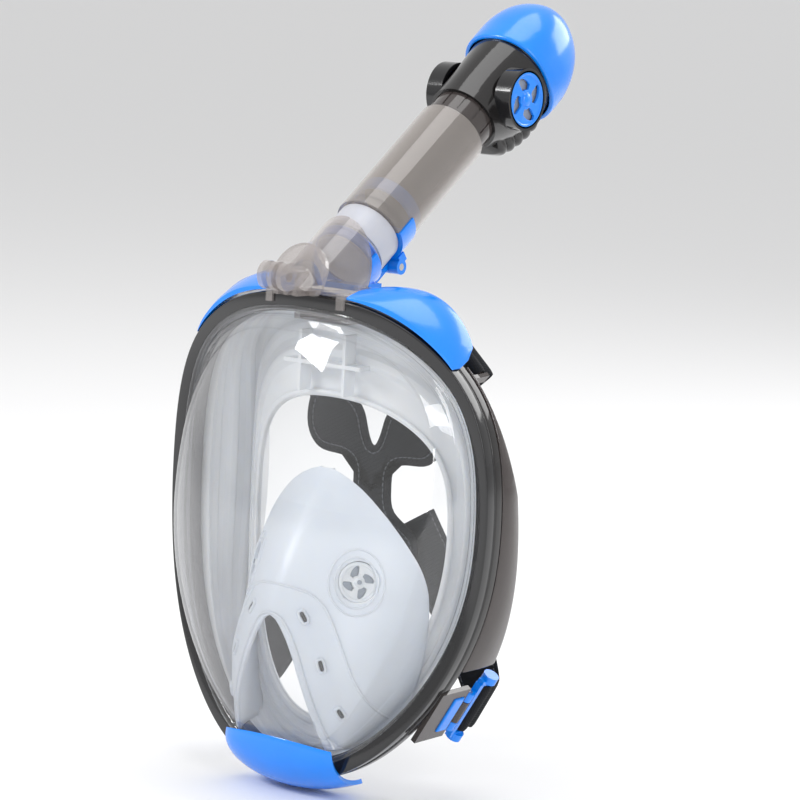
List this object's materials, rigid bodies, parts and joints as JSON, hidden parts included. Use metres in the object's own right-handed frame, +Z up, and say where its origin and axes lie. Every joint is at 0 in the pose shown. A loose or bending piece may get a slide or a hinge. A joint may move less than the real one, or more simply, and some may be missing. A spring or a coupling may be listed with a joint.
{
  "type": "full-face snorkel mask",
  "caption": "Full-face snorkel mask with a clear wraparound window, silicone skirt and nose cup, folding dry-top snorkel, camera lugs and four-strap headgear.",
  "frame": {"origin": "centre of the face seal, level with the lower forehead, in the plane the forehead seal stands 7 mm in front of", "axes": "+Z up the face, -Y the way the window faces, +X the wearer's left"},
  "size_m": [0.2176, 0.2531, 0.4254],
  "materials": {
    "clear_lens": "glossy clear polycarbonate",
    "black_frame": "gloss black",
    "smoke": "translucent smoke",
    "clear_plastic": "clear moulded plastic",
    "blue": "satin gloss",
    "blue_gasket": "soft gasket",
    "silicone": "translucent liquid silicone",
    "valve": "thin silicone",
    "white": "fine matte",
    "steel": "stainless",
    "webbing": "woven elastic webbing"
  },
  "bodies": {
    "mask": {"lens": "clear_lens", "front_frame": "black_frame", "rear_frame": "smoke", "side_cover_left": "smoke", "side_cover_right": "smoke", "upper_lug_left": "smoke", "upper_lug_right": "smoke", "strap_lug_left": "smoke", "strap_lug_right": "smoke", "snorkel_socket": "clear_plastic", "camera_mount": "clear_plastic", "frame_clips": "clear_plastic", "chin_cap": "blue", "hinge_leaf": "blue", "brow_trim_left": "blue", "brow_trim_right": "blue", "socket_gasket": "blue_gasket", "skirt": "silicone", "nose_cup": "silicone", "air_guide": "silicone", "joint_collar": "white", "drain_seat": "white", "inhale_seat_left": "white", "inhale_seat_right": "white", "hinge_pin": "steel", "buckle_pin_left": "steel", "buckle_pin_right": "steel", "upper_strap_left": "webbing", "upper_strap_right": "webbing", "lower_strap_left": "webbing", "lower_strap_right": "webbing", "back_pad": "webbing"},
    "snorkel": {"hinge_block": "blue", "lower_sleeve": "clear_plastic", "tube_collar": "blue", "snorkel_tube": "smoke", "dry_top_housing": "smoke", "louvre_cage": "smoke", "top_cap": "blue", "float_seat": "white", "exhale_ring_left": "black_frame", "exhale_ring_right": "black_frame", "exhale_grille_left": "blue", "exhale_grille_right": "blue"},
    "float": {"float_block": "white", "float_seal": "valve"},
    "exhale_flap_left": {"exhale_flap_left": "valve"},
    "exhale_flap_right": {"exhale_flap_right": "valve"},
    "inhale_flap_left": {"inhale_flap_left": "valve"},
    "inhale_flap_right": {"inhale_flap_right": "valve"},
    "drain_flap": {"drain_flap": "valve"},
    "buckle_left": {"buckle_left": "blue"},
    "buckle_right": {"buckle_right": "blue"},
    "button_left": {"buckle_button_left": "blue"},
    "button_right": {"buckle_button_right": "blue"}
  },
  "joints": [
    {"name": "snorkel_fold", "type": "hinge", "parent": "mask", "child": "snorkel", "pos_m": [0, 0.03071, 0.16158], "axis": [-1, 0, 0], "range_deg": [0, 95]},
    {"name": "float_slide", "type": "slide", "parent": "snorkel", "child": "float", "axis": [0, 0.809, 0.5878], "range_m": [0, 0.0095]},
    {"name": "exhale_flap_right_lift", "type": "slide", "parent": "snorkel", "child": "exhale_flap_right", "axis": [1, 0, 0], "range_m": [0, 0.0009], "stiffness_N_per_m": 20},
    {"name": "inhale_flap_right_lift", "type": "slide", "parent": "mask", "child": "inhale_flap_right", "axis": [-0.7927, 0.572, -0.2107], "range_m": [0, 0.0012], "stiffness_N_per_m": 20},
    {"name": "buckle_right_swing", "type": "hinge", "parent": "mask", "child": "buckle_right", "pos_m": [0.078, 0.0145, -0.0695], "axis": [-0.5182, 0, -0.8553], "range_deg": [0, 35], "deforming": ["lower_strap_right"]},
    {"name": "button_right_press", "type": "slide", "parent": "mask", "child": "button_right", "axis": [-0.8553, 0, 0.5182], "range_m": [0, 0.0015], "stiffness_N_per_m": 900},
    {"name": "exhale_flap_left_lift", "type": "slide", "parent": "snorkel", "child": "exhale_flap_left", "axis": [-1, 0, 0], "range_m": [0, 0.0009], "stiffness_N_per_m": 20},
    {"name": "inhale_flap_left_lift", "type": "slide", "parent": "mask", "child": "inhale_flap_left", "axis": [0.7927, 0.572, -0.2107], "range_m": [0, 0.0012], "stiffness_N_per_m": 20},
    {"name": "buckle_left_swing", "type": "hinge", "parent": "mask", "child": "buckle_left", "pos_m": [-0.078, 0.0145, -0.0695], "axis": [-0.5182, 0, 0.8553], "range_deg": [0, 35], "deforming": ["lower_strap_left"]},
    {"name": "button_left_press", "type": "slide", "parent": "mask", "child": "button_left", "axis": [0.8553, 0, 0.5182], "range_m": [0, 0.0015], "stiffness_N_per_m": 900},
    {"name": "drain_flap_lift", "type": "slide", "parent": "mask", "child": "drain_flap", "axis": [0, 0, -1], "range_m": [0, 0.001], "stiffness_N_per_m": 20}
  ]
}
